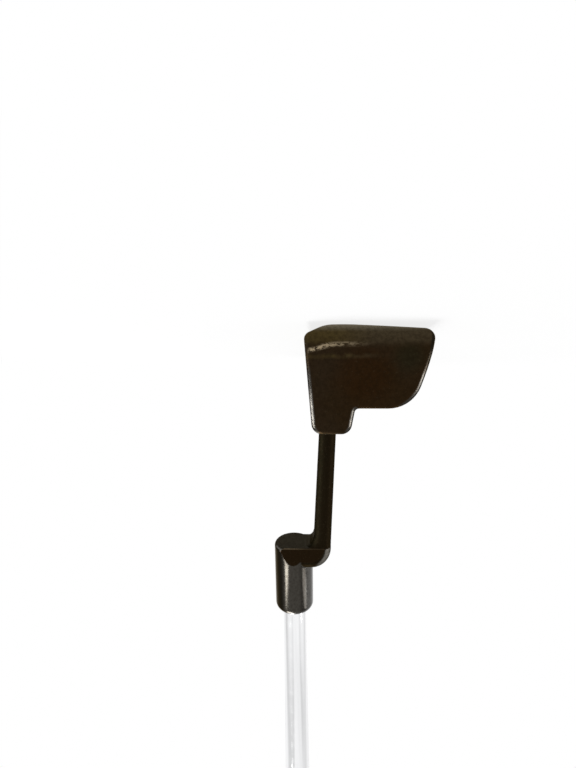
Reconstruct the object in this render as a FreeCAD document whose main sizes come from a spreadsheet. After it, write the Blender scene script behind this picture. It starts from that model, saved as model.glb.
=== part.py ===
"""A heel-and-toe-weighted blade putter with an offset neck, built as its real pieces.

Millimetres. The putter stands at address: +X points to the toe, +Y to the target and +Z up. The
origin is the middle of the sole's flat land, on the ground. A level is a place along the shaft's axis,
as its distance from the ground along that axis.
"""

import FreeCAD, Part
import math
import os
import re
import Sketcher
from FreeCAD import Placement, Rotation, Vector

SIZES = {
    # Where the shaft's axis runs
    "lie_angle": 71.0,
    "axis_heelward": 33.1,
    "axis_ahead_of_face": 6.95,
    # Blade, bumpers and sole. A depth is behind the line where the face's plane meets the ground
    "head_length": 112.0,
    "head_depth": 30.45,
    "face_ahead": 8.0,
    "face_loft": 5.0,
    "topline_height": 25.35,
    "topline_thickness": 8.5,
    "topline_radius": 2.4,
    "lead_rise": 2.7,
    "lead_radius": 1.9,
    "sole_land": 5.0,
    "sole_front_blend": 8.0,
    "sole_rear_blend": 40.0,
    "rear_rise": 1.45,
    "rear_radius": 2.3,
    "step_depth": 11.9,
    "step_radius": 1.0,
    "bumper_height": 19.6,
    "bumper_top_depth": 24.6,
    "bumper_radius": 7.8,
    "bumper_wall_depth": 28.85,
    "bumper_wall_height": 8.6,
    "bumper_wall_bow": 60.0,
    "end_round": 7.0,
    "end_drop": 0.15,
    "end_fillet": 1.1,
    # Cavity, back recess, flange and sight line
    "flange_thickness": 4.6,
    "cavity_floor_length": 58.0,
    "cavity_top_length": 70.0,
    "cavity_corner": 3.0,
    "cavity_fillet": 1.2,
    "recess_length": 52.0,
    "recess_low": 7.5,
    "recess_high": 18.0,
    "recess_cut": 4.0,
    "recess_corner": 2.6,
    "scallop_length": 54.0,
    "scallop_cut": 2.6,
    "scallop_corner": 2.2,
    "sight_width": 1.6,
    "sight_length": 10.5,
    "sight_depth": 0.5,
    "sight_corner": 0.7,
    "sight_setback": 2.4,
    "paint_recess": 0.1,
    # Neck, elbow and hosel
    "neck_offset_low": 13.75,
    "neck_offset_high": 11.52,
    "neck_thickness_low": 6.4,
    "neck_thickness_high": 6.95,
    "neck_breadth": 10.9,
    "neck_corner": 2.8,
    "neck_root": 6.0,
    "neck_base_flare": 3.0,
    "neck_base_height": 5.0,
    "neck_top_flare": 4.3,
    "underside_level": 79.05,
    "elbow_thickness": 8.6,
    "elbow_lip": 0.03,
    "neck_embed": 0.15,
    "elbow_radius": 7.7,
    "hosel_length": 30.9,
    "hosel_diameter": 15.5,
    "hosel_foot_radius": 1.6,
    "mouth_radius": 3.0,
    "bore_depth": 25.4,
    # Shaft and the adhesive round its tip
    "club_length": 889.0,
    "tip_diameter": 9.4,
    "tip_parallel": 30.0,
    "taper_length": 300.0,
    "butt_diameter": 15.2,
    "shaft_wall": 0.5,
    "bond_gap": 0.1,
    "bond_floor": 0.3,
    "bond_setback": 0.4,
    # Grip
    "grip_length": 268.0,
    "cap_thickness": 3.6,
    "cap_bevel": 1.4,
    "vent_diameter": 2.6,
    "tape_thickness": 0.2,
    "tape_clearance": 0.05,
    "tape_setback": 6.0,
    "grip_width_low": 17.2,
    "grip_width_high": 25.0,
    "grip_front_low": 8.6,
    "grip_front_high": 11.4,
    "grip_back_low": 8.6,
    "grip_back_high": 20.0,
    # One overrun for every cut that passes right through
    "cut_overrun": 5.0,
}

# How far round the quarter circle the flares' sections stand, as shares of a right angle
FLARE_SHARES = (0.0, 0.3, 0.55, 0.8, 1.0)

# Grip sections from its mouth to its butt: how far along it they stand, then how far the width, the
# flat front and the pistol back have grown from their low size to their high size
GRIP_SHARES = (
    (0.0, 0.0, 0.0, 0.0),
    (0.015, 0.09, 0.09, 0.04),
    (0.04, 0.14, 0.14, 0.06),
    (0.25, 0.32, 0.32, 0.17),
    (0.50, 0.55, 0.55, 0.33),
    (0.66, 0.70, 0.70, 0.40),
    (0.76, 0.80, 0.80, 0.47),
    (0.83, 0.87, 0.87, 0.57),
    (0.89, 0.93, 0.93, 0.71),
    (0.95, 0.98, 0.98, 0.89),
    (1.0, 1.0, 1.0, 1.0),
)
# Corner radii of a grip section as shares of its half width: the flat's two edges, then the round back
GRIP_FLAT_CORNER_SHARE = 0.34
GRIP_BACK_CORNER_SHARE = 0.94

# Places that follow from the sizes, in the sheet's names
AXIS_Y = "(face_ahead + axis_ahead_of_face)"
TOPLINE_LEVEL = "(topline_height / sin(lie_angle))"
MOUTH_LEVEL = "(underside_level + hosel_length)"
BORE_LEVEL = f"({MOUTH_LEVEL} - bore_depth)"
CAP_LEVEL = "(club_length - cap_thickness)"
GRIP_LEVEL = "(club_length - grip_length)"
BORE_RADIUS = "(tip_diameter / 2 + bond_gap)"
TAPE_RADIUS = "(butt_diameter / 2 + tape_thickness)"
GRIP_BORE_RADIUS = f"({TAPE_RADIUS} + tape_clearance)"
FLAT_REACH = "(neck_breadth / 2 + elbow_lip)"
ELBOW_RADIUS = "min(elbow_radius; elbow_thickness - elbow_lip)"
REAR_REACH = "(neck_offset_high + neck_thickness_high / 2 + elbow_lip)"

doc = FreeCAD.newDocument("putter")
sheet = doc.addObject("Spreadsheet::Sheet", "Sizes")


def fill_sheet():
    """Writes each driving size into the sheet under its own alias."""
    for row, (name, size) in enumerate(SIZES.items(), start=1):
        sheet.set(f"A{row}", name)
        sheet.set(f"B{row}", str(size))
        sheet.setAlias(f"B{row}", name)
    doc.recompute()


def bound(text):
    """The same expression as another object of the document has to write it."""
    return re.sub(r"\b([a-z]+(?:_[a-z]+)+)\b", r"Sizes.\1", text)


def value(text):
    """What an expression in the sheet's names comes to now."""
    return float(sheet.evalExpression(text))


def attach(sketch, plane, axis=None, angle="0", base=("0", "0", "0")):
    """Lays a sketch on one of its body's origin planes, turned about an axis of it and moved along it."""
    body = sketch.getParentGeoFeatureGroup()
    support = [feature for feature in body.Origin.OriginFeatures if feature.Role == plane][0]
    sketch.AttachmentSupport = [(support, "")]
    sketch.MapMode = "FlatFace"
    if axis:
        sketch.AttachmentOffset = Placement(Vector(), Rotation(axis, value(angle)))
        sketch.setExpression("AttachmentOffset.Rotation.Angle", bound(angle))
    for name, place in zip("xyz", base):
        if place != "0":
            sketch.setExpression(f"AttachmentOffset.Base.{name}", bound(place))


def flat_sketch(body, name, plane, base=("0", "0", "0")):
    """A sketch on an origin plane, or parallel to it."""
    sketch = body.newObject("Sketcher::SketchObject", name)
    attach(sketch, plane, base=base)
    return sketch


def cross_sketch(body, name, level):
    """A sketch square to the shaft at a level, centred on its axis: x runs toeward, y to the target."""
    sketch = body.newObject("Sketcher::SketchObject", name)
    base = (f"-axis_heelward - ({level}) * cos(lie_angle)", AXIS_Y, f"({level}) * sin(lie_angle)")
    attach(sketch, "XY_Plane", Vector(0, -1, 0), "90 - lie_angle", base)
    return sketch


def axial_sketch(body, name):
    """A sketch through the shaft's axis and the target line: x runs to the target, y up the shaft."""
    sketch = body.newObject("Sketcher::SketchObject", name)
    attach(sketch, "YZ_Plane", Vector(-1, 0, 0), "90 - lie_angle", (AXIS_Y, "0", "-axis_heelward"))
    return sketch


def fix(sketch, kind, expression, *where):
    """Adds a dimension to a sketch and binds it to the sheet."""
    index = sketch.addConstraint(Sketcher.Constraint(kind, *where, value(expression)))
    if expression != "0":
        sketch.setExpression(f"Constraints[{index}]", bound(expression))


class Corner:
    """A corner of an outline and the arc that rounds it."""

    def __init__(self, before, here, after):
        self.point = here[0]
        self.radius = here[1]
        self.arc_from = self.point
        self.arc_to = self.point
        if self.radius:
            way_in = (self.point - before[0]).normalize()
            way_out = (after[0] - self.point).normalize()
            reach = self.radius * math.tan(way_in.getAngle(way_out) / 2)
            self.left = way_in.cross(way_out).z > 0
            self.arc_from = self.point - way_in * reach
            self.arc_to = self.point + way_out * reach
            inward = Vector(-way_in.y, way_in.x, 0) * (1 if self.left else -1)
            self.centre = self.arc_from + inward * self.radius

    def arc(self):
        """The rounding arc, which a sketch takes anticlockwise."""
        ends = [self.arc_from - self.centre, self.arc_to - self.centre]
        angles = [math.atan2(end.y, end.x) for end in ends]
        if not self.left:
            angles.reverse()
        return Part.ArcOfCircle(Part.Circle(self.centre, Vector(0, 0, 1), self.radius), *angles)


def outline(sketch, corners):
    """Draws a closed outline. Each corner is (x, y) or (x, y, rounding radius), in the sheet's names."""
    places = []
    for corner in corners:
        radius = value(corner[2]) if len(corner) > 2 else 0
        places.append((Vector(value(corner[0]), value(corner[1]), 0), radius))
    count = len(places)
    rounds = [Corner(places[i - 1], places[i], places[(i + 1) % count]) for i in range(count)]
    sides = []
    for i, start in enumerate(rounds):
        line = Part.LineSegment(start.arc_to, rounds[(i + 1) % count].arc_from)
        sides.append(sketch.addGeometry(line, False))
    for i, corner in enumerate(rounds):
        point = sketch.addGeometry(Part.Point(corner.point), True)
        fix(sketch, "DistanceX", corners[i][0], -1, 1, point, 1)
        fix(sketch, "DistanceY", corners[i][1], -1, 1, point, 1)
        into = sides[i - 1]
        out = sides[i]
        if not corner.radius:
            sketch.addConstraint(Sketcher.Constraint("Coincident", into, 2, point, 1))
            sketch.addConstraint(Sketcher.Constraint("Coincident", out, 1, point, 1))
            continue
        arc = sketch.addGeometry(corner.arc(), False)
        first = 1 if corner.left else 2
        last = 2 if corner.left else 1
        sketch.addConstraint(Sketcher.Constraint("PointOnObject", point, 1, into))
        sketch.addConstraint(Sketcher.Constraint("PointOnObject", point, 1, out))
        sketch.addConstraint(Sketcher.Constraint("Tangent", into, 2, arc, first))
        sketch.addConstraint(Sketcher.Constraint("Tangent", out, 1, arc, last))
        fix(sketch, "Radius", corners[i][2], arc)


def circle(sketch, radius):
    """Draws a circle round the sketch's own origin."""
    ring = Part.Circle(Vector(), Vector(0, 0, 1), value(radius))
    index = sketch.addGeometry(ring, False)
    sketch.addConstraint(Sketcher.Constraint("Coincident", index, 3, -1, 1))
    fix(sketch, "Radius", radius, index)


def new_body(name):
    """A body whose label names the piece and its file."""
    body = doc.addObject("PartDesign::Body", name)
    body.Label = name
    return body


def extrude(body, kind, name, sketch, length, both_ways=False, back_length=None, reverse=False):
    """A Pad or Pocket of a sketch: one way, evenly both ways, or by a length of its own each way."""
    feature = body.newObject(f"PartDesign::{kind}", name)
    feature.Profile = sketch
    feature.Reversed = reverse
    if both_ways:
        feature.SideType = "Symmetric"
    if back_length:
        feature.SideType = "Two sides"
        feature.setExpression("Length2", bound(back_length))
    feature.setExpression("Length", bound(length))
    doc.recompute()
    return feature


def revolve(body, name, sketch):
    """A full turn of a sketch about its own upright axis."""
    feature = body.newObject("PartDesign::Revolution", name)
    feature.Profile = sketch
    feature.ReferenceAxis = (sketch, ["V_Axis"])
    doc.recompute()


def loft(body, name, sketches):
    """An AdditiveLoft through sketches, straight from each to the next."""
    feature = body.newObject("PartDesign::AdditiveLoft", name)
    feature.Profile = sketches[0]
    feature.Sections = sketches[1:]
    feature.Ruled = True
    doc.recompute()


def dress(body, kind, name, base, size, wanted):
    """A Fillet or a Chamfer of every edge of the base feature that the test wants."""
    names = [f"Edge{i}" for i, edge in enumerate(base.Shape.Edges, start=1) if wanted(edge)]
    feature = body.newObject(f"PartDesign::{kind}", name)
    feature.Base = (base, names)
    feature.setExpression("Radius" if kind == "Fillet" else "Size", bound(size))
    doc.recompute()
    return feature


def level_of(point):
    """How far along the shaft's axis a point stands, from the ground."""
    ground = Vector(-value("axis_heelward"), value(AXIS_Y), 0)
    lie = math.radians(value("lie_angle"))
    return (point - ground).dot(Vector(-math.cos(lie), 0, math.sin(lie)))


def close(first, second):
    """Whether two lengths are the same but for rounding."""
    return math.isclose(first, second, abs_tol=1e-4)


def build_blade(body):
    """The blade, both bumpers and the sole: a front outline with round ends, trimmed to a side outline.

    The end rounds reach a little below the ground, so they meet the sole's land at a slight edge.
    """
    front = flat_sketch(body, "front_outline", "XZ_Plane")
    top = "topline_height + cut_overrun"
    outline(front, [
        ("head_length / 2", "-end_drop", "end_round"),
        ("head_length / 2", top),
        ("-head_length / 2", top),
        ("-head_length / 2", "-end_drop", "end_round"),
    ])
    extrude(body, "Pad", "block", front, "2 * (head_depth + cut_overrun)", both_ways=True)
    side = flat_sketch(body, "side_outline", "YZ_Plane")
    reach = "head_depth + 2 * cut_overrun"
    outline(side, [
        (reach, "-cut_overrun"),
        (reach, "topline_height + 2 * cut_overrun"),
        (f"-({reach})", "topline_height + 2 * cut_overrun"),
        (f"-({reach})", "-cut_overrun"),
    ])
    face_top = "face_ahead - topline_height * tan(face_loft)"
    outline(side, [
        ("face_ahead - lead_rise * tan(face_loft)", "lead_rise", "lead_radius"),
        (face_top, "topline_height", "topline_radius"),
        (f"{face_top} - topline_thickness", "topline_height", "topline_radius"),
        ("face_ahead - step_depth", "bumper_height", "step_radius"),
        ("face_ahead - bumper_top_depth", "bumper_height", "bumper_radius"),
        ("face_ahead - bumper_wall_depth", "bumper_wall_height", "bumper_wall_bow"),
        ("face_ahead - head_depth", "rear_rise", "rear_radius"),
        ("-sole_land / 2", "0", "sole_rear_blend"),
        ("sole_land / 2", "0", "sole_front_blend"),
    ])
    trim = extrude(body, "Pocket", "side_trim", side, "head_length + 2 * cut_overrun", both_ways=True)
    end = value("head_length / 2")

    def at_end(edge):
        return close(abs(edge.CenterOfMass.x), end)

    dress(body, "Fillet", "end_edges", trim, "end_fillet", at_end)


def build_cavity(body):
    """The open back between the bumpers, the recess behind the face, the flange's edge, the sight groove."""
    wall = "face_ahead - step_depth"
    rear = "face_ahead - head_depth - cut_overrun"
    opening = flat_sketch(body, "cavity_outline", "XZ_Plane", ("0", "0", f"-({wall})"))
    lean = "(cavity_top_length - cavity_floor_length) / 2 / (bumper_height - flange_thickness)"
    reach = f"cavity_top_length / 2 + cut_overrun * {lean}"
    outline(opening, [
        ("cavity_floor_length / 2", "flange_thickness", "cavity_corner"),
        (reach, "bumper_height + cut_overrun"),
        (f"-({reach})", "bumper_height + cut_overrun"),
        ("-cavity_floor_length / 2", "flange_thickness", "cavity_corner"),
    ])
    cavity = extrude(body, "Pocket", "cavity", opening, f"{wall} - ({rear})", reverse=True)
    wall_y = value(wall)
    top = value("bumper_height")

    def at_wall_foot(edge):
        """Where the front wall meets the floor or the sides, below the bumpers' top."""
        on_wall = all(close(vertex.Y, wall_y) for vertex in edge.Vertexes)
        return on_wall and any(vertex.Z < top and not close(vertex.Z, top) for vertex in edge.Vertexes)

    dress(body, "Fillet", "cavity_fillets", cavity, "cavity_fillet", at_wall_foot)
    recess = flat_sketch(body, "recess_outline", "XZ_Plane", ("0", "0", f"-({wall})"))
    outline(recess, [
        ("recess_length / 2", "recess_low", "recess_corner"),
        ("recess_length / 2", "recess_high", "recess_corner"),
        ("-recess_length / 2", "recess_high", "recess_corner"),
        ("-recess_length / 2", "recess_low", "recess_corner"),
    ])
    extrude(body, "Pocket", "back_recess", recess, "recess_cut")
    scallop = flat_sketch(body, "scallop_outline", "XY_Plane")
    edge = "face_ahead - head_depth + scallop_cut"
    outline(scallop, [
        ("scallop_length / 2", edge, "scallop_corner"),
        ("-scallop_length / 2", edge, "scallop_corner"),
        ("-scallop_length / 2", rear),
        ("scallop_length / 2", rear),
    ])
    extrude(body, "Pocket", "flange_edge", scallop, "2 * topline_height", both_ways=True)
    groove = sight_sketch(body, "flange_thickness")
    extrude(body, "Pocket", "sight_groove", groove, "sight_depth")


def sight_sketch(body, height):
    """The sight line's outline at a height: the groove and the paint in it share it."""
    sketch = flat_sketch(body, "sight_outline", "XY_Plane", ("0", "0", height))
    front = "face_ahead - step_depth - sight_setback"
    outline(sketch, [
        ("sight_width / 2", f"{front} - sight_length", "sight_corner"),
        ("sight_width / 2", front, "sight_corner"),
        ("-sight_width / 2", front, "sight_corner"),
        ("-sight_width / 2", f"{front} - sight_length", "sight_corner"),
    ])
    return sketch


def neck_section(sketch, level, half_breadth, front_growth="0"):
    """Draws the neck's rounded section. Its offset and thickness change evenly up to the elbow."""
    climb = f"(({level}) - {TOPLINE_LEVEL}) / (underside_level - {TOPLINE_LEVEL})"
    offset = f"neck_offset_low + (neck_offset_high - neck_offset_low) * {climb}"
    half = f"(neck_thickness_low + (neck_thickness_high - neck_thickness_low) * {climb}) / 2"
    front = f"-({offset}) + {half} + {front_growth}"
    rear = f"-({offset}) - {half}"
    outline(sketch, [
        (half_breadth, rear, "neck_corner"),
        (half_breadth, front, "neck_corner"),
        (f"-({half_breadth})", front, "neck_corner"),
        (f"-({half_breadth})", rear, "neck_corner"),
    ])
    return sketch


def neck_foot(body, name, height, growth):
    """The neck's section in a level plane at a height, grown toward toe and heel alike."""
    centre = f"-axis_heelward - ({height}) / tan(lie_angle)"
    half_breadth = f"neck_breadth / (2 * sin(lie_angle)) + {growth}"
    sketch = flat_sketch(body, name, "XY_Plane", (centre, AXIS_Y, height))
    return neck_section(sketch, f"({height}) / sin(lie_angle)", half_breadth)


def neck_end(body, name, level, growth):
    """The neck's section square to the shaft, at a level, grown toward the target."""
    return neck_section(cross_sketch(body, name, level), level, "neck_breadth / 2", growth)


def build_neck(body):
    """The neck: a flare out of the topline, a leaning bar, and a flare into the elbow's underside."""
    base_sections = []
    top_sections = []
    for i, share in enumerate(FLARE_SHARES):
        turn = f"({share} * 90)"
        height = f"topline_height + neck_base_height * (1 - sin{turn})"
        growth = f"neck_base_flare * (1 - cos{turn})"
        base_sections.append(neck_foot(body, f"neck_base_{i}", height, growth))
        level = f"underside_level - neck_top_flare * (1 - sin{turn})"
        growth = f"neck_top_flare * (1 - cos{turn})"
        top_sections.append(neck_end(body, f"neck_top_{i}", level, growth))
    root = neck_foot(body, "neck_root", "topline_height - neck_root", "neck_base_flare")
    elbow = neck_end(body, "neck_elbow", "underside_level + neck_embed", "neck_top_flare")
    loft(body, "neck_base", [root] + base_sections[::-1])
    loft(body, "neck_bar", [base_sections[0], top_sections[0]])
    loft(body, "neck_top", top_sections + [elbow])


def cut_toe_flat(body, name):
    """Trims the toe side of what stands above the underside to one upright flat."""
    sketch = flat_sketch(body, f"{name}_outline", "XZ_Plane")
    edge_x = f"-axis_heelward - underside_level * cos(lie_angle) + {FLAT_REACH} * sin(lie_angle)"
    edge_z = f"underside_level * sin(lie_angle) + {FLAT_REACH} * cos(lie_angle)"
    away = f"{edge_x} + hosel_diameter * sin(lie_angle)"
    outline(sketch, [
        (edge_x, edge_z),
        (away, f"{edge_z} + hosel_diameter * cos(lie_angle)"),
        (away, f"{edge_z} + hosel_diameter + elbow_thickness"),
        (edge_x, f"{edge_z} + hosel_diameter + elbow_thickness"),
    ])
    return extrude(body, "Pocket", name, sketch, "4 * hosel_diameter", both_ways=True)


def build_elbow(body):
    """The elbow: the neck bent over to the hosel, with the same corners, but upright on its toe side."""
    side = axial_sketch(body, "elbow_outline")
    elbow_top = "underside_level + elbow_thickness"
    outline(side, [
        ("0", "underside_level"),
        ("0", elbow_top),
        (f"-{REAR_REACH}", elbow_top, ELBOW_RADIUS),
        (f"-{REAR_REACH}", "underside_level"),
    ])
    overhang = f"{FLAT_REACH} + elbow_thickness / tan(lie_angle) + elbow_lip"
    extrude(body, "Pad", "elbow", side, overhang, back_length=FLAT_REACH)
    block = cut_toe_flat(body, "elbow_flat")
    underside = value("underside_level")

    def along_bend(edge):
        """The elbow's round rear corner, where it meets the toe side and the heel side."""
        return level_of(edge.CenterOfMass) > underside and edge.Curve.TypeId != "Part::GeomLine"

    dress(body, "Fillet", "elbow_corners", block, "neck_corner", along_bend)


def build_barrel(body):
    """The hosel barrel with its rounded mouth, its flat on the toe side, and the shaft's bore."""
    half = axial_sketch(body, "barrel_outline")
    outline(half, [
        ("0", "underside_level"),
        ("hosel_diameter / 2", "underside_level", "hosel_foot_radius"),
        ("hosel_diameter / 2", MOUTH_LEVEL, "mouth_radius"),
        ("0", MOUTH_LEVEL),
    ])
    revolve(body, "barrel", half)
    cut_toe_flat(body, "barrel_flat")
    mouth = cross_sketch(body, "bore_outline", MOUTH_LEVEL)
    circle(mouth, BORE_RADIUS)
    extrude(body, "Pocket", "bore", mouth, "bore_depth")


def build_head():
    """The head: one casting from the sole to the hosel's mouth."""
    body = new_body("putter_head")
    build_blade(body)
    build_cavity(body)
    build_elbow(body)
    build_neck(body)
    build_barrel(body)
    return body


def build_sight_line():
    """The paint that fills the sight groove to just under the flange's top."""
    body = new_body("sight_line")
    sketch = sight_sketch(body, "flange_thickness - sight_depth")
    extrude(body, "Pad", "paint", sketch, "sight_depth - paint_recess")
    return body


def turned_piece(name, corners):
    """A piece turned about the shaft's axis."""
    body = new_body(name)
    half = axial_sketch(body, f"{name}_outline")
    outline(half, corners)
    revolve(body, f"{name}_turn", half)
    return body


def build_bond():
    """The adhesive: a cup that fills the bore round the shaft's tip and under it."""
    rim = f"{MOUTH_LEVEL} - bond_setback"
    seat = f"{BORE_LEVEL} + bond_floor"
    return turned_piece("hosel_epoxy", [
        ("0", BORE_LEVEL),
        (BORE_RADIUS, BORE_LEVEL),
        (BORE_RADIUS, rim),
        ("tip_diameter / 2", rim),
        ("tip_diameter / 2", seat),
        ("0", seat),
    ])


def build_shaft():
    """The shaft: a tube, parallel at its tip, tapered, then parallel to the butt under the grip."""
    tip = f"{BORE_LEVEL} + bond_floor"
    taper_start = f"{BORE_LEVEL} + tip_parallel"
    taper_end = f"{taper_start} + taper_length"
    return turned_piece("shaft", [
        ("tip_diameter / 2", tip),
        ("tip_diameter / 2", taper_start),
        ("butt_diameter / 2", taper_end),
        ("butt_diameter / 2", CAP_LEVEL),
        ("butt_diameter / 2 - shaft_wall", CAP_LEVEL),
        ("butt_diameter / 2 - shaft_wall", taper_end),
        ("tip_diameter / 2 - shaft_wall", taper_start),
        ("tip_diameter / 2 - shaft_wall", tip),
    ])


def build_tape():
    """The double-sided tape between the shaft and the grip."""
    low = f"{GRIP_LEVEL} + tape_setback"
    high = f"{CAP_LEVEL} - tape_setback"
    return turned_piece("grip_tape", [
        ("butt_diameter / 2", low),
        (TAPE_RADIUS, low),
        (TAPE_RADIUS, high),
        ("butt_diameter / 2", high),
    ])


def grip_section(body, name, level, width_share, front_share, back_share):
    """A grip section: flat front toeward, where the thumbs lie, and a round back."""
    half = f"(grip_width_low + (grip_width_high - grip_width_low) * {width_share}) / 2"
    front = f"grip_front_low + (grip_front_high - grip_front_low) * {front_share}"
    back = f"-(grip_back_low + (grip_back_high - grip_back_low) * {back_share})"
    flat_corner = f"{half} * {GRIP_FLAT_CORNER_SHARE}"
    back_corner = f"{half} * {GRIP_BACK_CORNER_SHARE}"
    sketch = cross_sketch(body, name, level)
    outline(sketch, [
        (front, f"-{half}", flat_corner),
        (front, half, flat_corner),
        (back, half, back_corner),
        (back, f"-{half}", back_corner),
    ])
    return sketch


def build_grip():
    """The rubber sleeve, lofted through its sections and bored for the taped shaft."""
    body = new_body("grip_sleeve")
    sections = []
    for i, (along, *growth) in enumerate(GRIP_SHARES):
        level = f"{GRIP_LEVEL} + (grip_length - cap_thickness) * {along}"
        sections.append(grip_section(body, f"grip_section_{i}", level, *growth))
    loft(body, "grip_form", sections)
    bore = cross_sketch(body, "grip_bore_outline", CAP_LEVEL)
    circle(bore, GRIP_BORE_RADIUS)
    extrude(body, "Pocket", "grip_bore", bore, "grip_length + cut_overrun")
    return body


def build_cap():
    """The butt cap, which closes the sleeve and the shaft's end and holds the vent."""
    body = new_body("grip_cap")
    section = grip_section(body, "cap_outline", CAP_LEVEL, *GRIP_SHARES[-1][1:])
    disc = extrude(body, "Pad", "cap_disc", section, "cap_thickness")
    butt = value("club_length")

    def on_butt(edge):
        return all(close(level_of(vertex.Point), butt) for vertex in edge.Vertexes)

    dress(body, "Chamfer", "cap_edge", disc, "cap_bevel", on_butt)
    vent = cross_sketch(body, "vent_outline", "club_length")
    circle(vent, "vent_diameter / 2")
    extrude(body, "Pocket", "vent", vent, "cap_thickness + cut_overrun")
    return body


def check(pieces):
    """Stops if any object of the document failed or any piece is empty or not valid."""
    for thing in doc.Objects:
        if "Invalid" in thing.State or "Error" in thing.State:
            raise RuntimeError(f"{thing.Label} failed: {thing.State}")
    for piece in pieces:
        if piece.Shape.isNull() or not piece.Shape.isValid():
            raise RuntimeError(f"{piece.Label} has no valid shape")


def main():
    fill_sheet()
    pieces = [
        build_head(),
        build_sight_line(),
        build_bond(),
        build_shaft(),
        build_tape(),
        build_grip(),
        build_cap(),
    ]
    doc.recompute()
    check(pieces)
    os.makedirs("parts", exist_ok=True)
    for piece in pieces:
        piece.Shape.exportStep(f"parts/{piece.Label}.step")
        print(f"{piece.Label}: {len(piece.Shape.Solids)} solid, {piece.Shape.Volume:.0f} mm3")


main()
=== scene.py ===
"""Dresses the putter: bronze, chrome, rubber and paint, a moulded grip, a pale studio, a camera at the toe.

Metres. +X points to the toe, +Y to the target and +Z up, as in the frame. A level is a place on the
shaft or the grip, as its distance from the ground along the shaft's axis. Colours are linear.
"""

import math

import bpy
from mathutils import Matrix, Vector
from mathutils.bvhtree import BVHTree


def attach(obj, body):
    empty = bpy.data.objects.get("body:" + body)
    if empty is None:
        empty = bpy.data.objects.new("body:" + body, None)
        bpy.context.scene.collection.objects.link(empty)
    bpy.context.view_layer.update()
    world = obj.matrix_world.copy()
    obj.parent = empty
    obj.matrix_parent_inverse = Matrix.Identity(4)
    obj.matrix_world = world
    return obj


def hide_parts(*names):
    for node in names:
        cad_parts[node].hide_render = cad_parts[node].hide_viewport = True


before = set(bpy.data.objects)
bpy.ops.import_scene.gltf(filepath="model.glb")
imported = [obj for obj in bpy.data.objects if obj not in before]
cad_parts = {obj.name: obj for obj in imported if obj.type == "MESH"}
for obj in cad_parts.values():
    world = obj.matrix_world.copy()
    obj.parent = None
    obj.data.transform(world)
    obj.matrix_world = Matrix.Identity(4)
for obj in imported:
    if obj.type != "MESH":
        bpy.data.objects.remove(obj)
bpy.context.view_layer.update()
scene = bpy.context.scene

MM = 0.001

# The shaft's axis
LIE = math.radians(71)
AXIS_FOOT = Vector((-33.1, 14.95, 0)) * MM
UP_SHAFT = Vector((-math.cos(LIE), 0, math.sin(LIE)))
TOEWARD = Vector((math.sin(LIE), 0, math.cos(LIE)))
TARGETWARD = Vector((0, 1, 0))

# The head's ends, as distances from its middle: where they lie, and where the wear and painted
# highlight on their rims start and are full
HEAD_END = 56.0 * MM
WEAR_AND_SHEEN_START = 54.6 * MM
WEAR_AND_SHEEN_FULL = 55.0 * MM

# The hosel, by its radius and by levels
HOSEL_RADIUS = 7.75 * MM
UNDERSIDE_LEVEL = 79.05 * MM
ELBOW_TOP_LEVEL = 87.65 * MM

# The grip by levels, and by columns round it. Column 0 is the middle of its flat front
MOUTH_LEVEL = 621.0 * MM
CAP_LEVEL = 885.4 * MM
BUTT_LEVEL = 889.0 * MM
SAMPLE_STEP = 4 * MM
COLUMNS = 96
FLAT_COLUMNS = 6
EDGE_COLUMN = 9
BACK_COLUMN = 16
BRICK_COLUMNS = 8
BRICK_GAP = 2

# The photograph: its size, its lens in pixels, and where lines that run from toe to heel meet in it
IMAGE_WIDTH = 576
IMAGE_HEIGHT = 768
LENS_PIXELS = 621
HEELWARD_PIXEL = (321.0, 401.2)
CAMERA_PLACE = Vector((195.0, 3.8, 17.93)) * MM
SENSOR = 36.0

# Where the lamps point
HEAD_AIM = Vector((-20, 0, 30)) * MM
HOSEL_AIM = Vector((-38, 18, 97)) * MM

# Grey beams that reflections see across the studio: the normal of each one's plane, how far to the
# target it starts and is full, its half width, and how much darker it is
REFLECTED_BEAMS = (
    (Vector((0.668, 0.579, -0.467)), (0.15, 0.35), 0.24, 0.30),
    (Vector((-0.364, 0.699, 0.615)), (-0.47, -0.60), 0.17, 0.22),
)

# How bright the world is as light, where reflections and the camera see 1
WORLD_LIGHT = 0.4

# Colours of the head's ends and its sole. The sole's colours are painted light, paler where it
# faces down as if it mirrored a bright floor, and the rear corner's colour is painted shade
TOE_BROWN = (0.0200, 0.0112, 0.0046)
TOE_CLOUD = (0.0205, 0.0128, 0.0066)
TOE_RED = (0.0200, 0.0088, 0.0028)
TOE_OLIVE = (0.0150, 0.0125, 0.0060)
SOLE_LIT_AHEAD = (0.050, 0.0350, 0.0125)
SOLE_LIT_BEHIND = (0.044, 0.0325, 0.0180)
SOLE_LOWEST_LIT = (0.125, 0.112, 0.082)
REAR_CORNER_SHADE = (0.0078, 0.0060, 0.0036)

# Colours of the neck, the elbow and the hosel. The neck's side ahead is darker as painted shade, the
# elbow's edge line is a painted highlight, and the hosel's bands ahead, behind and at its rear edge
# are painted shade and a painted highlight
NECK_BEHIND = (0.0068, 0.0046, 0.0022)
NECK_AHEAD_SHADED = (0.0048, 0.0040, 0.0020)
ELBOW_FLAT = (0.0135, 0.0078, 0.0034)
ELBOW_UNDERSIDE = (0.028, 0.025, 0.019)
ELBOW_EDGE_HIGHLIGHT = (0.105, 0.078, 0.046)
HOSEL_AHEAD_SHADE = (0.0107, 0.0097, 0.0080)
HOSEL_MIDDLE = (0.050, 0.046, 0.039)
HOSEL_BEHIND_SHADE = (0.026, 0.024, 0.021)
HOSEL_REAR_HIGHLIGHT = (0.088, 0.084, 0.077)

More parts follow.
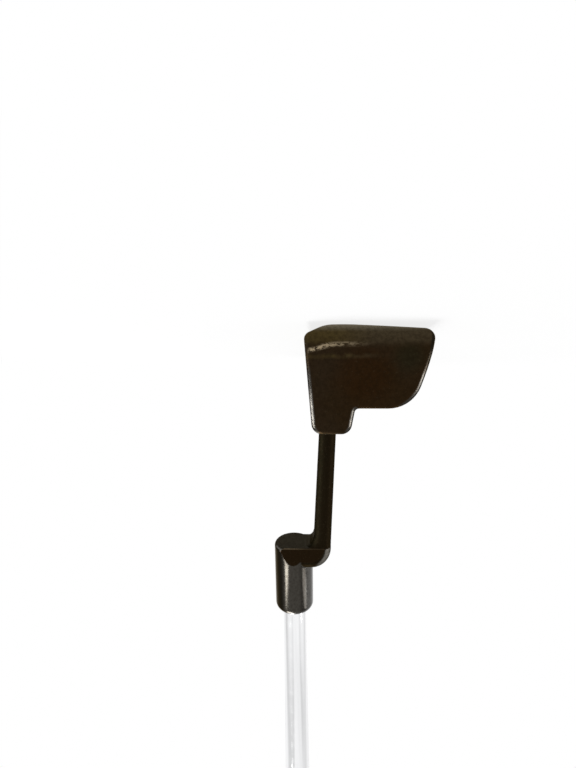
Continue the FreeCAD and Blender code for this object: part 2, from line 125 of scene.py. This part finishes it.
# Colours of wear on the bronze, of painted highlights on the rims and the head's end, and what tints
# its reflections at a low angle; the rims' dark tint is painted shade
RIM = (0.046, 0.043, 0.038)
RIM_OF_ELBOW_HIGHLIGHT = (0.085, 0.080, 0.070)
RIM_HIGHLIGHT = (0.135, 0.128, 0.115)
PITS = (0.0075, 0.0045, 0.0022)
SPECKS = (0.045, 0.036, 0.021)
STREAK_HIGHLIGHT = (0.33, 0.26, 0.165)
PATINA_TINT = (0.62, 0.58, 0.52)
RIM_SHADE_TINT = (0.30, 0.29, 0.27)
CLEAR_TINT = (1, 1, 1)

# Colours of the other pieces and the floor
CHROME_DARK = (0.84, 0.842, 0.85)
CHROME_BRIGHT = (0.91, 0.912, 0.92)
RUBBER = (0.011, 0.011, 0.0115)
SIGHT_PAINT = (0.84, 0.84, 0.80)
ADHESIVE = (0.60, 0.52, 0.34)
PAPER_TAPE = (0.72, 0.68, 0.58)
FLOOR_GREY = (0.90, 0.90, 0.90, 1)


def make_camera():
    """The camera hangs upside down at the toe, as the photograph shows the putter with its sole up."""
    right = (HEELWARD_PIXEL[0] - IMAGE_WIDTH / 2) / LENS_PIXELS
    down = (HEELWARD_PIXEL[1] - IMAGE_HEIGHT / 2) / LENS_PIXELS
    toe = -Vector((right, down, 1)).normalized()
    up = Vector((0, 1, -down)).normalized()
    target = up.cross(toe)
    seen = Matrix((toe, target, up)).transposed()
    data = bpy.data.cameras.new("camera")
    data.sensor_width = SENSOR
    data.lens = LENS_PIXELS / IMAGE_HEIGHT * SENSOR
    data.clip_start = 0.01
    camera = bpy.data.objects.new("camera", data)
    axes = Matrix((seen[0], -seen[1], -seen[2])).transposed()
    camera.matrix_world = Matrix.Translation(CAMERA_PLACE) @ axes.to_4x4()
    scene.collection.objects.link(camera)
    scene.camera = camera


class Net:
    """A node tree built up by short calls. A share is a value from none, 0, to all, 1."""

    def __init__(self, tree):
        self.tree = tree

    def add(self, kind, **settings):
        node = self.tree.nodes.new(kind)
        for name, setting in settings.items():
            setattr(node, name, setting)
        return node

    def give(self, socket, given):
        """Gives a socket a value or a link."""
        if isinstance(given, bpy.types.NodeSocket):
            self.tree.links.new(given, socket)
        else:
            socket.default_value = given

    def feed(self, node, **inputs):
        """Gives a node's sockets, named with underscores for spaces, a value or a link."""
        for name, given in inputs.items():
            self.give(node.inputs[name.replace("_", " ")], given)

    def ramp(self, given, low, high, to_low=0.0, to_high=1.0):
        """Maps a range of values smoothly to another."""
        node = self.add("ShaderNodeMapRange", interpolation_type="SMOOTHSTEP")
        self.feed(node, Value=given, From_Min=low, From_Max=high, To_Min=to_low, To_Max=to_high)
        return node.outputs["Result"]

    def math(self, operation, first, second=0.0, clamp=False):
        node = self.add("ShaderNodeMath", operation=operation, use_clamp=clamp)
        self.give(node.inputs[0], first)
        self.give(node.inputs[1], second)
        return node.outputs[0]

    def product(self, first, *others):
        for other in others:
            first = self.math("MULTIPLY", first, other)
        return first

    def larger(self, first, second):
        return self.math("MAXIMUM", first, second)

    def absolute(self, given):
        return self.math("ABSOLUTE", given)

    def rest_of(self, share):
        return self.math("SUBTRACT", 1.0, share)

    def mix(self, share, first, second):
        """Mixes two colours, each a link or (r, g, b)."""
        node = self.add("ShaderNodeMix", data_type="RGBA")
        for index, given in ((0, share), (6, first), (7, second)):
            self.give(node.inputs[index], (*given, 1.0) if isinstance(given, tuple) else given)
        return node.outputs[2]

    def split(self, given):
        node = self.add("ShaderNodeSeparateXYZ")
        self.feed(node, Vector=given)
        return node.outputs

    def joined(self, x, y, z):
        node = self.add("ShaderNodeCombineXYZ")
        self.feed(node, X=x, Y=y, Z=z)
        return node.outputs["Vector"]

    def vector(self, operation, first, second):
        node = self.add("ShaderNodeVectorMath", operation=operation)
        self.tree.links.new(first, node.inputs[0])
        node.inputs[1].default_value = second
        return node

    def shifted(self, place, by):
        return self.vector("ADD", place, by).outputs["Vector"]

    def dot(self, place, axis):
        return self.vector("DOT_PRODUCT", place, axis).outputs["Value"]


class Finish(Net):
    """A node material on a plain shader."""

    def __init__(self, name):
        self.material = bpy.data.materials.new(name)
        self.material.use_nodes = True
        super().__init__(self.material.node_tree)
        self.shader = self.tree.nodes["Principled BSDF"]
        self.place = self.add("ShaderNodeTexCoord").outputs["Object"]

    def set(self, **inputs):
        self.feed(self.shader, **inputs)

    def noise(self, scale, detail=2.0, roughness=0.5, place=None):
        node = self.add("ShaderNodeTexNoise")
        self.feed(node, Vector=place or self.place, Scale=scale, Detail=detail, Roughness=roughness)
        return node.outputs["Fac"]

    def distance_to(self, point):
        return self.vector("DISTANCE", self.place, point).outputs["Value"]

    def bump(self, height, strength, distance, round_edge=0.0):
        """Roughens the surface, and rounds its edges further by a radius."""
        node = self.add("ShaderNodeBump")
        self.feed(node, Height=height, Strength=strength, Distance=distance)
        if round_edge:
            bevel = self.add("ShaderNodeBevel", samples=8)
            self.feed(bevel, Radius=round_edge)
            self.feed(node, Normal=bevel.outputs["Normal"])
        self.set(Normal=node.outputs["Normal"])


class Bronze(Finish):
    """Dark patina that mirrors little: brown on the toe, olive on the neck, paler on the rims that
    handling wore. Painted highlights, reflections and shade lie on the rims, the sole, the hosel and
    the toe's end.

    toeward, ahead and upward say how far the surface faces the toe, the target and up. side is a place
    across the hosel, from -1 behind its axis to 1 ahead of it.
    """

    def __init__(self):
        super().__init__("bronze_patina")
        self.x, self.y, self.z = self.split(self.place)
        self.toeward, self.ahead, self.upward = self.split(self.add("ShaderNodeTexCoord").outputs["Normal"])
        from_foot = self.shifted(self.place, -AXIS_FOOT)
        self.level = self.dot(from_foot, UP_SHAFT)
        self.off_axis_x = self.dot(from_foot, TOEWARD)
        self.off_axis_y = self.dot(from_foot, TARGETWARD)
        self.side = self.math("DIVIDE", self.off_axis_y, HOSEL_RADIUS)

        toe_flat = self.ramp(self.toeward, 0.985, 0.998)
        off_flat = self.rest_of(toe_flat)
        self.neck = self.product(self.ramp(self.z, 24 * MM, 27 * MM), off_flat)
        self.elbow_flat = self.product(toe_flat, self.ramp(self.z, 60 * MM, 62 * MM))
        self.barrel = self.product(self.barrel_share(), off_flat)
        self.rim = self.rim_share()

        self.colour_ends_and_sole()
        self.colour_neck_and_elbow()
        self.colour_hosel()
        self.colour_wear_and_painted_light()
        self.set(Base_Color=self.colour, Metallic=1.0, Specular_Tint=self.tint())
        self.set(Roughness=self.roughness())
        self.bump(self.noise(2600, detail=3), 0.10, 0.04 * MM, round_edge=1.3 * MM)

    def lay(self, share, shade):
        """Lays a colour over the ones before it."""
        self.colour = self.mix(share, self.colour, shade)

    def colour_ends_and_sole(self):
        clouds = self.ramp(self.noise(60, detail=3), 0.46, 0.66)
        self.colour = self.mix(clouds, TOE_BROWN, TOE_CLOUD)
        red_middle = Vector((HEAD_END, -6 * MM, 12 * MM))
        self.lay(self.ramp(self.distance_to(red_middle), 9 * MM, 3 * MM, 0, 0.8), TOE_RED)
        olive_middle = Vector((HEAD_END, -16 * MM, 8 * MM))
        self.lay(self.ramp(self.distance_to(olive_middle), 5 * MM, 1 * MM, 0, 0.8), TOE_OLIVE)
        # Painted light: faces turned down and the roll into the sole are paler, and the lowest edge palest.
        underside = self.ramp(self.upward, -0.08, -0.6)
        sole = self.mix(self.ramp(self.y, 2 * MM, -9 * MM), SOLE_LIT_AHEAD, SOLE_LIT_BEHIND)
        self.lay(self.larger(underside, self.sole_roll_light()), sole)
        self.lay(self.product(underside, self.ramp(self.z, 2.3 * MM, 0.2 * MM)), SOLE_LOWEST_LIT)

    def colour_neck_and_elbow(self):
        # The neck's patina is brown behind and olive ahead, and the side ahead is darker as painted shade.
        self.lay(self.neck, self.mix(self.ramp(self.ahead, -0.3, 0.5), NECK_BEHIND, NECK_AHEAD_SHADED))
        self.lay(self.elbow_flat, ELBOW_FLAT)
        self.lay(self.product(self.neck, self.ramp(self.upward, -0.6, -0.9)), ELBOW_UNDERSIDE)

    def colour_hosel(self):
        """Painted reflections run along the hosel: dark ahead, grey in its middle, darker behind, and a
        painted highlight at its rear edge.
        """
        shade = self.mix(self.ramp(self.side, 0.40, 0.66), HOSEL_MIDDLE, HOSEL_AHEAD_SHADE)
        shade = self.mix(self.ramp(self.side, -0.25, -0.5), shade, HOSEL_BEHIND_SHADE)
        shade = self.mix(self.ramp(self.side, -0.58, -0.74), shade, HOSEL_REAR_HIGHLIGHT)
        self.lay(self.barrel, shade)

    def colour_wear_and_painted_light(self):
        """The painted shade on the rear corner, the rims, the painted highlight line over the elbow's flat,
        pits, specks and the painted highlight streak.
        """
        # Painted shade: the rear rim low on the head's end is darkened, so that it catches no lamp.
        rear = self.product(self.ramp(self.ahead, -0.12, -0.40), self.ramp(self.z, 12 * MM, 9 * MM),
                            self.ramp(self.toeward, 0.2, 0.5))
        self.lay(rear, REAR_CORNER_SHADE)
        self.lay(self.rim, self.rim_shade())
        # Painted highlight: a bright line along the lower edge of the elbow's flat.
        lowest = self.ramp(self.level, UNDERSIDE_LEVEL + 0.55 * MM, UNDERSIDE_LEVEL + 0.25 * MM)
        fading = self.ramp(self.y, 6 * MM, 19 * MM, 0.15, 1.0)
        self.lay(self.product(self.elbow_flat, lowest, fading), ELBOW_EDGE_HIGHLIGHT)
        self.lay(self.ramp(self.noise(1100, detail=5, roughness=0.7), 0.38, 0.60, 0.35, 0), PITS)
        self.lay(self.ramp(self.noise(1700, detail=4, roughness=0.7), 0.56, 0.80, 0, 0.45), SPECKS)
        self.lay(self.streak_highlight_share(), STREAK_HIGHLIGHT)

    def rim_shade(self):
        """The rims are paler on the elbow, and palest on the upper part of the face's edge: painted
        highlights, where the lamps catch those rims.
        """
        shade = self.mix(self.ramp(self.z, 50 * MM, 60 * MM), RIM, RIM_OF_ELBOW_HIGHLIGHT)
        highlight_band = self.product(self.ramp(self.ahead, 0.0, 0.2), self.ramp(self.z, 14 * MM, 19 * MM),
                            self.ramp(self.z, 23.2 * MM, 22.4 * MM))
        return self.mix(highlight_band, shade, RIM_HIGHLIGHT)

    def tint(self):
        """At a low angle most of the hosel mirrors clearly, and the rims least: their dark tint is painted
        shade, which keeps their outlines dark.
        """
        clear = self.product(self.barrel, self.ramp(self.side, 0.5, 0.2))
        return self.mix(self.rim, self.mix(clear, PATINA_TINT, CLEAR_TINT), RIM_SHADE_TINT)

    def roughness(self):
        """The neck is duller than the ends, and the hosel smoother."""
        neck_adds = 0.30
        hosel_takes = 0.42
        least = 0.17
        rough = self.ramp(self.noise(420, detail=4), 0.3, 0.7, 0.20, 0.32)
        rough = self.math("ADD", rough, self.product(self.neck, neck_adds))
        rough = self.math("SUBTRACT", rough, self.product(self.barrel, hosel_takes), clamp=True)
        return self.larger(rough, least)

    def rim_share(self):
        """The rounded rims of the head's ends and of the elbow's flat, where handling wore the patina,
        paler so that the lamps catch them. Low on the head's end they fade back to patina, as painted
        shade.

        The head's own are limited in height, because the hosel leans out as far as the head's end.
        """
        turned = self.ramp(self.absolute(self.ahead), 0.12, 0.40)
        at_end = self.product(self.ramp(self.absolute(self.x), WEAR_AND_SHEEN_START, WEAR_AND_SHEEN_FULL),
                              self.ramp(self.z, 9 * MM, 13 * MM, 0.1, 1.0),
                              self.ramp(self.z, 31 * MM, 30 * MM))
        at_elbow = self.product(
            self.ramp(self.level, UNDERSIDE_LEVEL + 0.1 * MM, UNDERSIDE_LEVEL + 0.6 * MM),
            self.ramp(self.toeward, 0.3, 0.6, 0, 1.5), self.rest_of(self.barrel))
        return self.product(turned, self.larger(at_end, at_elbow))

    def barrel_share(self):
        """The hosel's barrel: above the elbow, or on the barrel's round beside it."""
        across = self.math("POWER", self.off_axis_x, 2)
        along = self.math("POWER", self.off_axis_y, 2)
        radius = self.math("SQRT", self.math("ADD", across, along))
        off_round = self.absolute(self.math("SUBTRACT", radius, HOSEL_RADIUS))
        beside = self.product(self.ramp(off_round, 0.3 * MM, 0.1 * MM),
                              self.ramp(self.y, 9.2 * MM, 9.6 * MM),
                              self.ramp(self.level, UNDERSIDE_LEVEL, UNDERSIDE_LEVEL + 0.6 * MM))
        above = self.ramp(self.level, ELBOW_TOP_LEVEL - 0.1 * MM, ELBOW_TOP_LEVEL + 0.2 * MM)
        return self.larger(beside, above)

    def sole_roll_light(self):
        """Painted reflection: the paler strip where the head's end rolls into the sole, and a faint painted
        highlight line above it.
        """
        waviness = 1.6 * MM
        line_height = 8.7 * MM
        line_half_width = 0.8 * MM
        mottle = self.noise(420, detail=4, roughness=0.6)
        reach = self.math("ADD", self.z, self.product(mottle, waviness))
        rolled = self.product(self.ramp(reach, 6.8 * MM, 4.8 * MM), self.ramp(mottle, 0.3, 0.7, 0.65, 1.0))
        off_line = self.absolute(self.math("SUBTRACT", reach, line_height))
        faint = self.product(self.ramp(off_line, line_half_width, 0.0),
                             self.ramp(self.y, -13 * MM, -2 * MM),
                             self.ramp(mottle, 0.35, 0.7, 0.25, 0.8))
        return self.larger(rolled, faint)

    def streak_highlight_share(self):
        """A painted highlight on the head's end: a speckled streak that climbs toward the face."""
        start_height = 5.1 * MM
        steepness = 0.085 * MM
        waviness = 0.6 * MM
        half_width = 0.85 * MM
        ahead_in_mm = self.math("DIVIDE", self.larger(self.y, 0.0), MM)
        climb = self.product(self.math("POWER", ahead_in_mm, 1.5), steepness)
        waver = self.product(self.math("SUBTRACT", self.noise(250), 0.5), waviness)
        line = self.math("ADD", self.math("ADD", climb, start_height), waver)
        streak = self.ramp(self.absolute(self.math("SUBTRACT", self.z, line)), half_width, 0.0)
        drawn = self.joined(self.x, self.product(self.y, 0.6), self.product(self.z, 1.3))
        strokes = self.noise(1500, detail=4, roughness=0.75, place=drawn)
        broken_streak = self.product(streak, self.ramp(strokes, 0.43, 0.54))
        at_end = self.ramp(self.absolute(self.x), 53 * MM, WEAR_AND_SHEEN_FULL)
        along = self.product(self.ramp(self.y, -9 * MM, 6 * MM), self.ramp(self.y, 7.0 * MM, 6.2 * MM))
        return self.product(broken_streak, at_end, along)


def chrome():
    """Bright plate, with the long faint streaks of a drawn tube."""
    stretch_share = 0.045
    finish = Finish("chrome_plate")
    along = finish.product(finish.dot(finish.place, UP_SHAFT), stretch_share)
    drawn = finish.joined(finish.dot(finish.place, TOEWARD), finish.dot(finish.place, TARGETWARD), along)
    streaks = finish.ramp(finish.noise(260, detail=1, place=drawn), 0.42, 0.60)
    finish.set(Base_Color=finish.mix(streaks, CHROME_DARK, CHROME_BRIGHT), Metallic=1.0)
    finish.set(Roughness=finish.ramp(finish.noise(300, detail=4), 0.3, 0.7, 0.06, 0.14))
    return finish.material


def plain(name, colour, roughness):
    """A dull finish whose colour varies a little."""
    finish = Finish(name)
    pale = tuple(min(1, c * 1.25 + 0.004) for c in colour)
    shade = finish.mix(finish.ramp(finish.noise(900, detail=3), 0.35, 0.7), colour, pale)
    finish.set(Base_Color=shade, Roughness=roughness, Specular_IOR_Level=0.3)
    finish.bump(finish.noise(1800, detail=2), 0.15, 0.05 * MM)
    return finish.material


def on_axis(level):
    """The point of the shaft's axis at a level."""
    return AXIS_FOOT + UP_SHAFT * level


def outward(column):
    """The way out from the axis at a column."""
    turn = 2 * math.pi * column / COLUMNS
    return TOEWARD * math.cos(turn) + TARGETWARD * math.sin(turn)


class GripForm:
    """The form of the grip's CAD node, as its outside radius at any level and column."""

    def __init__(self):
        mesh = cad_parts["grip_sleeve"].data
        corners = [vertex.co for vertex in mesh.vertices]
        self.tree = BVHTree.FromPolygons(corners, [polygon.vertices for polygon in mesh.polygons])
        self.rows = round((CAP_LEVEL - MOUTH_LEVEL) / SAMPLE_STEP)
        sampled = [[self.cast(i, j) for j in range(COLUMNS)] for i in range(self.rows + 1)]
        self.radii = [self.smooth(sampled, i) for i in range(self.rows + 1)]

    def cast(self, row, column):
        """Where a ray toward the axis first meets the sleeve."""
        margin = 0.05 * MM
        far = 60 * MM
        level = min(max(MOUTH_LEVEL + row * SAMPLE_STEP, MOUTH_LEVEL + margin), CAP_LEVEL - margin)
        way = outward(column)
        hit = self.tree.ray_cast(on_axis(level) + way * far, -way)
        return far - hit[3]

    def smooth(self, sampled, row):
        """Eases the radii along the grip, so that the CAD sections leave no kinks."""
        weights = {-2: 1, -1: 2, 0: 3, 1: 2, 2: 1}
        near = {step: weight for step, weight in weights.items()
                if 0 <= row + step <= self.rows and 0 <= row - step <= self.rows}
        total = sum(near.values())
        return [sum(sampled[row + s][j] * w for s, w in near.items()) / total for j in range(COLUMNS)]

    def radius(self, level, column):
        place = min(max((level - MOUTH_LEVEL) / SAMPLE_STEP, 0), self.rows)
        row = min(int(place), self.rows - 1)
        share = place - row
        return self.radii[row][column] * (1 - share) + self.radii[row + 1][column] * share


def ring(level, radius_of):
    """A closed ring of points at a level."""
    return [on_axis(level) + outward(j) * radius_of(j) for j in range(COLUMNS)]


def ring_piece(name, node, rings, material):
    """A closed piece whose skin runs through rings, from the last back to the first."""
    points = [point for one in rings for point in one]
    faces = []
    for i in range(len(rings)):
        here = i * COLUMNS
        there = (i + 1) % len(rings) * COLUMNS
        for j in range(COLUMNS):
            k = (j + 1) % COLUMNS
            faces.append((here + j, here + k, there + k, there + j))
    mesh = bpy.data.meshes.new(name)
    mesh.from_pydata(points, [], faces)
    mesh.shade_smooth()
    mesh.materials.append(material)
    piece = bpy.data.objects.new(name, mesh)
    scene.collection.objects.link(piece)
    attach(piece, "root")
    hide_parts(node)


def is_grooved(row, column):
    """Grooves run right across the flat front, and in bricks round the back. The corners stay plain."""
    side = min(column, COLUMNS - column)
    if side < BACK_COLUMN:
        return side <= FLAT_COLUMNS
    shift = row % 2 * BRICK_COLUMNS // 2
    return (side + shift) % BRICK_COLUMNS >= BRICK_GAP


def make_sleeve(form, material):
    """The moulded sleeve: fine grooves across it, a line along each edge of the flat, a rounded mouth."""
    bore = 7.87 * MM
    lip = 1.3 * MM
    pitch = 3.1 * MM
    depth = 0.38 * MM
    plain_mouth = 13 * MM
    plain_length = 22 * MM
    bevel_height = 0.5 * MM
    bevel_width = 0.3 * MM
    end_drop = 0.05 * MM
    # A groove's section: how far along it in mm, and whether that place is at the groove's floor
    groove_section = ((0, False), (0.28, True), (0.72, True), (1.0, False))

    rings = [ring(CAP_LEVEL, lambda j: bore), ring(MOUTH_LEVEL, lambda j: bore)]
    for turn in (0, 30, 60, 90):
        inset = lip * 0.5 * (1 - math.sin(math.radians(turn)))
        level = MOUTH_LEVEL + lip * (1 - math.cos(math.radians(turn)))
        rings.append(ring(level, lambda j: form.radius(level, j) - inset))
    for row in range(int((CAP_LEVEL - MOUTH_LEVEL - plain_length) / pitch)):
        for along, at_floor in groove_section:
            level = MOUTH_LEVEL + plain_mouth + row * pitch + along * MM

            def radius_of(j):
                on_line = min(j, COLUMNS - j) == EDGE_COLUMN
                cut = depth if on_line or at_floor and is_grooved(row, j) else 0.0
                return form.radius(level, j) - cut

            rings.append(ring(level, radius_of))
    rings.append(ring(CAP_LEVEL - bevel_height, lambda j: form.radius(CAP_LEVEL, j)))
    rings.append(ring(CAP_LEVEL - end_drop, lambda j: form.radius(CAP_LEVEL, j) - bevel_width))
    ring_piece("moulded_sleeve", "grip_sleeve", rings, material)


def make_cap(form, material):
    """The butt cap: rounded rim, a shallow ring in its end, and the vent."""
    vent = 1.3 * MM
    vent_bevel_width = 0.3 * MM
    vent_bevel_height = 0.4 * MM
    seam_width = 0.3 * MM
    seam_height = 0.35 * MM
    rim = 1.5 * MM
    # The end's section: the share of the way from the rim to the vent, and how deep it lies in mm
    end_section = ((0.12, 0), (0.16, 0.3), (0.24, 0.3), (0.28, 0), (0.6, 0.1), (1.0, 0.1))

    def outline(inset):
        return lambda j: form.radius(CAP_LEVEL, j) - inset

    def toward_vent(share):
        vent_edge = vent + vent_bevel_width
        return lambda j: (form.radius(CAP_LEVEL, j) - rim) * (1 - share) + vent_edge * share

    rings = [ring(CAP_LEVEL, lambda j: vent), ring(CAP_LEVEL, outline(seam_width))]
    rings.append(ring(CAP_LEVEL + seam_height, outline(0)))
    for turn in (0, 22, 45, 68, 90):
        sweep = math.radians(turn)
        rings.append(ring(BUTT_LEVEL - rim * (1 - math.sin(sweep)), outline(rim * (1 - math.cos(sweep)))))
    for share, drop in end_section:
        rings.append(ring(BUTT_LEVEL - drop * MM, toward_vent(share)))
    rings.append(ring(BUTT_LEVEL - vent_bevel_height, lambda j: vent))
    ring_piece("moulded_cap", "grip_cap", rings, material)


def dress(node, material):
    """Gives a CAD node a finish."""
    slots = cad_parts[node].data.materials
    slots.clear()
    slots.append(material)


def make_floor():
    """A pale floor that keeps the putter's shadow, pales to the white background and mirrors as white."""
    shadow_start = 20 * MM
    shadow_end = 160 * MM
    white_at_start = 0.78
    bpy.ops.mesh.primitive_plane_add(size=12)
    floor = bpy.context.object
    floor.name = "floor"
    floor.location.z = -0.02 * MM
    finish = Finish("pale_floor")
    finish.set(Base_Color=FLOOR_GREY, Roughness=0.9, Specular_IOR_Level=0.0)
    off_middle = finish.distance_to(Vector())
    white = finish.ramp(off_middle, shadow_start, shadow_end, white_at_start, 1.0)
    path = finish.add("ShaderNodeLightPath")
    white = finish.product(white, path.outputs["Is Camera Ray"])
    white = finish.larger(white, path.outputs["Is Glossy Ray"])
    glow = finish.add("ShaderNodeEmission")
    mixed = finish.add("ShaderNodeMixShader")
    for socket, given in zip(mixed.inputs, (white, finish.shader.outputs[0], glow.outputs[0])):
        finish.give(socket, given)
    finish.feed(finish.tree.nodes["Material Output"], Surface=mixed.outputs[0])
    floor.data.materials.append(finish.material)


def softbox(name, aim, azimuth, elevation, distance, width, height, radiance, lights_all=True):
    """A lamp that faces a point. Its angles are in degrees, and azimuth turns from toe to target."""
    area = bpy.data.lights.new(name, "AREA")
    area.shape = "RECTANGLE"
    area.size = width
    area.size_y = height
    area.energy = radiance * math.pi * width * height
    lamp = bpy.data.objects.new(name, area)
    turn = math.radians(azimuth)
    rise = math.radians(elevation)
    away = Vector((math.cos(turn) * math.cos(rise), math.sin(turn) * math.cos(rise), math.sin(rise)))
    lamp.location = aim + away * distance
    lamp.rotation_euler = away.to_track_quat("Z", "Y").to_euler()
    lamp.visible_camera = False
    lamp.visible_diffuse = lights_all
    scene.collection.objects.link(lamp)


def make_world():
    """White to the camera, white with two grey beams in reflections, and less bright as light."""
    world = bpy.data.worlds.new("studio")
    world.use_nodes = True
    scene.world = world
    net = Net(world.node_tree)
    toward = net.add("ShaderNodeTexCoord").outputs["Generated"]
    path = net.add("ShaderNodeLightPath")
    mirrored = 1.0
    for normal, ends, half_width, depth in REFLECTED_BEAMS:
        off_beam = net.absolute(net.dot(toward, normal))
        beam = net.product(net.ramp(off_beam, half_width, 0.0, 0.0, depth),
                           net.ramp(net.dot(toward, TARGETWARD), *ends))
        mirrored = net.math("SUBTRACT", mirrored, beam)
    by_camera = path.outputs["Is Camera Ray"]
    in_mirrors = net.larger(path.outputs["Is Glossy Ray"], path.outputs["Is Transmission Ray"])
    as_light = net.rest_of(net.larger(in_mirrors, by_camera))
    strength = net.math("ADD", net.product(in_mirrors, mirrored), net.product(as_light, WORLD_LIGHT))
    strength = net.math("ADD", strength, by_camera)
    net.feed(net.tree.nodes["Background"], Color=(1, 1, 1, 1), Strength=strength)


def make_studio():
    """The floor, the world and the lamps, of which all but the first only show in reflections."""
    make_floor()
    make_world()
    softbox("left_softbox", HEAD_AIM, 115, 73, 1.20, 0.60, 0.40, 16.0)
    softbox("low_left_strip", HEAD_AIM, 71, 16, 0.80, 0.34, 0.22, 34.0, lights_all=False)
    softbox("hosel_left_strip", HOSEL_AIM, 67, 41, 0.12, 0.040, 0.040, 17.0, lights_all=False)
    softbox("right_strip", HEAD_AIM, -67, 15, 0.80, 0.34, 0.20, 22.0, lights_all=False)
    softbox("hosel_right_strip", HOSEL_AIM, -92, 37, 0.122, 0.048, 0.024, 7.3, lights_all=False)
    scene.view_settings.view_transform = "Standard"


def main():
    make_camera()
    dress("putter_head", Bronze().material)
    dress("shaft", chrome())
    rubber = plain("grip_rubber", RUBBER, 0.58)
    form = GripForm()
    make_sleeve(form, rubber)
    make_cap(form, rubber)
    dress("sight_line", plain("sight_paint", SIGHT_PAINT, 0.5))
    dress("hosel_epoxy", plain("cured_adhesive", ADHESIVE, 0.35))
    dress("grip_tape", plain("paper_tape", PAPER_TAPE, 0.85))
    make_studio()


main()
